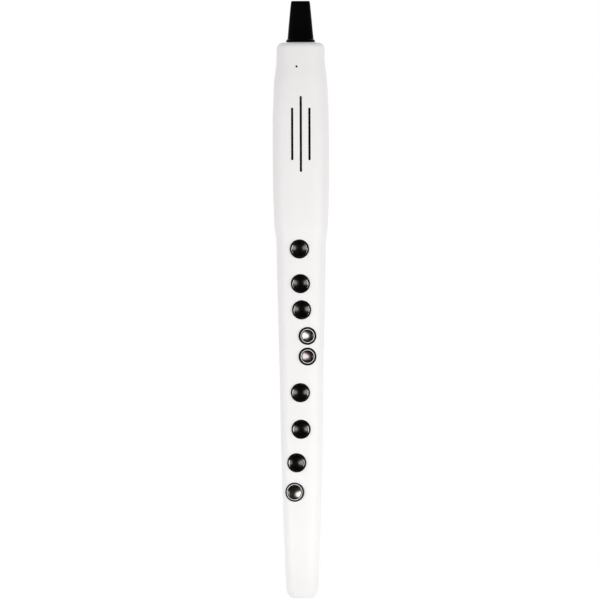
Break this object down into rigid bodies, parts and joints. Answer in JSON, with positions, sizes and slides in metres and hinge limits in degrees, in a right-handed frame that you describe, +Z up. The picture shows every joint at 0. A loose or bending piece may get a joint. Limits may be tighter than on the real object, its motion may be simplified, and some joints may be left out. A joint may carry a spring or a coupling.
{
  "type": "digital wind controller",
  "caption": "Slim hand-held electronic wind instrument: white two-part body, black beak, dished dark finger keys in front, thumb keys behind and slots for a speaker.",
  "frame": {"origin": "centre of the flat lower end of the body", "axes": "+Z up the body to the mouthpiece, -Y out of the front where the finger keys are, +X to the right of someone who looks at the front"},
  "size_m": [0.0426, 0.0425, 0.4497],
  "materials": {
    "body": "smooth white gloss",
    "mouthpiece": "satin black",
    "gasket": "soft matt",
    "key_metal": "dark mirror",
    "key_ring": "black gloss",
    "thumb_plate": "fine satin",
    "thumb_rest": "fine grain",
    "black_plastic": "moulded",
    "inner_plastic": "moulded",
    "tube": "clear silicone",
    "cloth": "woven",
    "cone": "pressed fibre",
    "magnet": "plated",
    "board": "solder mask",
    "battery_foil": "foil pouch",
    "steel": "satin",
    "status_light": "smoked clear"
  },
  "bodies": {
    "body": {"front_shell": "body", "rear_shell": "body", "mouthpiece_socket": "inner_plastic", "breath_tube": "tube", "breath_sensor": "black_plastic", "speaker_cloth": "cloth", "speaker_frame": "black_plastic", "speaker_cone": "cone", "speaker_magnet": "magnet", "main_board": "board", "battery": "battery_foil", "battery_tray": "inner_plastic", "control_switch_block": "black_plastic", "thumb_key_plate": "thumb_plate", "thumb_rest": "thumb_rest", "usb_port": "steel", "headphone_jack": "black_plastic", "status_light": "status_light", "right_little_key_ring": "key_ring", "right_little_key_switch": "black_plastic", "right_ring_key_ring": "key_ring", "right_ring_key_switch": "black_plastic", "right_middle_key_ring": "key_ring", "right_middle_key_switch": "black_plastic", "right_index_key_ring": "key_ring", "right_index_key_switch": "black_plastic", "left_little_lower_key_ring": "key_ring", "left_little_lower_key_switch": "black_plastic", "left_little_upper_key_ring": "key_ring", "left_little_upper_key_switch": "black_plastic", "left_ring_key_ring": "key_ring", "left_ring_key_switch": "black_plastic", "left_middle_key_ring": "key_ring", "left_middle_key_switch": "black_plastic", "left_index_key_ring": "key_ring", "left_index_key_switch": "black_plastic", "thumb_key_switch": "black_plastic", "octave_up_key_switch": "black_plastic", "octave_down_key_switch": "black_plastic", "shell_screw_low": "steel", "shell_screw_middle": "steel", "shell_screw_high": "steel", "shell_screw_top": "steel"},
    "right_little_key": {"right_little_key_cap": "key_metal"},
    "right_ring_key": {"right_ring_key_cap": "key_metal"},
    "right_middle_key": {"right_middle_key_cap": "key_metal"},
    "right_index_key": {"right_index_key_cap": "key_metal"},
    "left_little_lower_key": {"left_little_lower_key_cap": "key_metal"},
    "left_little_upper_key": {"left_little_upper_key_cap": "key_metal"},
    "left_ring_key": {"left_ring_key_cap": "key_metal"},
    "left_middle_key": {"left_middle_key_cap": "key_metal"},
    "left_index_key": {"left_index_key_cap": "key_metal"},
    "thumb_key": {"thumb_key_cap": "key_metal"},
    "octave_up_key": {"octave_up_key_cap": "key_metal"},
    "octave_down_key": {"octave_down_key_cap": "key_metal"},
    "power_button": {"power_button": "key_metal"},
    "voice_button": {"voice_button": "key_metal"},
    "volume_rocker": {"volume_rocker": "key_metal"},
    "mouthpiece": {"mouthpiece": "mouthpiece", "mouthpiece_gasket": "gasket"}
  },
  "joints": [
    {"name": "right_little_key_press", "type": "slide", "parent": "body", "child": "right_little_key", "axis": [0.1974, 0.9803, 0], "range_m": [0, 0.0012], "stiffness_N_per_m": 400, "springref_m": -0.0005},
    {"name": "right_ring_key_press", "type": "slide", "parent": "body", "child": "right_ring_key", "axis": [0.1095, 0.994, 0], "range_m": [0, 0.0012], "stiffness_N_per_m": 400, "springref_m": -0.0005},
    {"name": "right_middle_key_press", "type": "slide", "parent": "body", "child": "right_middle_key", "axis": [0.0048, 1, 0], "range_m": [0, 0.0012], "stiffness_N_per_m": 400, "springref_m": -0.0005},
    {"name": "right_index_key_press", "type": "slide", "parent": "body", "child": "right_index_key", "axis": [0.0113, 0.9999, 0], "range_m": [0, 0.0012], "stiffness_N_per_m": 400, "springref_m": -0.0005},
    {"name": "left_little_lower_key_press", "type": "slide", "parent": "body", "child": "left_little_lower_key", "axis": [-0.1189, 0.9929, 0], "range_m": [0, 0.0012], "stiffness_N_per_m": 400, "springref_m": -0.0005},
    {"name": "left_little_upper_key_press", "type": "slide", "parent": "body", "child": "left_little_upper_key", "axis": [-0.1146, 0.9934, 0], "range_m": [0, 0.0012], "stiffness_N_per_m": 400, "springref_m": -0.0005},
    {"name": "left_ring_key_press", "type": "slide", "parent": "body", "child": "left_ring_key", "axis": [-0.0008, 1, 0], "range_m": [0, 0.0012], "stiffness_N_per_m": 400, "springref_m": -0.0005},
    {"name": "left_middle_key_press", "type": "slide", "parent": "body", "child": "left_middle_key", "axis": [0.0059, 1, 0], "range_m": [0, 0.0012], "stiffness_N_per_m": 400, "springref_m": -0.0005},
    {"name": "left_index_key_press", "type": "slide", "parent": "body", "child": "left_index_key", "axis": [0.0153, 0.9999, 0], "range_m": [0, 0.0012], "stiffness_N_per_m": 400, "springref_m": -0.0005},
    {"name": "thumb_key_press", "type": "slide", "parent": "body", "child": "thumb_key", "axis": [0, -1, 0], "range_m": [0, 0.0012], "stiffness_N_per_m": 400, "springref_m": -0.0005},
    {"name": "octave_up_key_press", "type": "slide", "parent": "body", "child": "octave_up_key", "axis": [0, -1, 0], "range_m": [0, 0.0012], "stiffness_N_per_m": 400, "springref_m": -0.0005},
    {"name": "octave_down_key_press", "type": "slide", "parent": "body", "child": "octave_down_key", "axis": [0, -1, 0], "range_m": [0, 0.0012], "stiffness_N_per_m": 400, "springref_m": -0.0005},
    {"name": "power_button_press", "type": "slide", "parent": "body", "child": "power_button", "axis": [0, -1, 0], "range_m": [0, 0.0008], "stiffness_N_per_m": 600, "springref_m": -0.0005},
    {"name": "voice_button_press", "type": "slide", "parent": "body", "child": "voice_button", "axis": [0, -1, 0], "range_m": [0, 0.0008], "stiffness_N_per_m": 600, "springref_m": -0.0005},
    {"name": "volume_rocker_tilt", "type": "hinge", "parent": "body", "child": "volume_rocker", "pos_m": [0, 0.00985, 0.19135], "axis": [1, 0, 0], "range_deg": [-4, 4], "stiffness_Nm_per_rad": 0.05},
    {"name": "mouthpiece_pull", "type": "slide", "parent": "body", "child": "mouthpiece", "axis": [0, 0, 1], "range_m": [0, 0.015]}
  ]
}
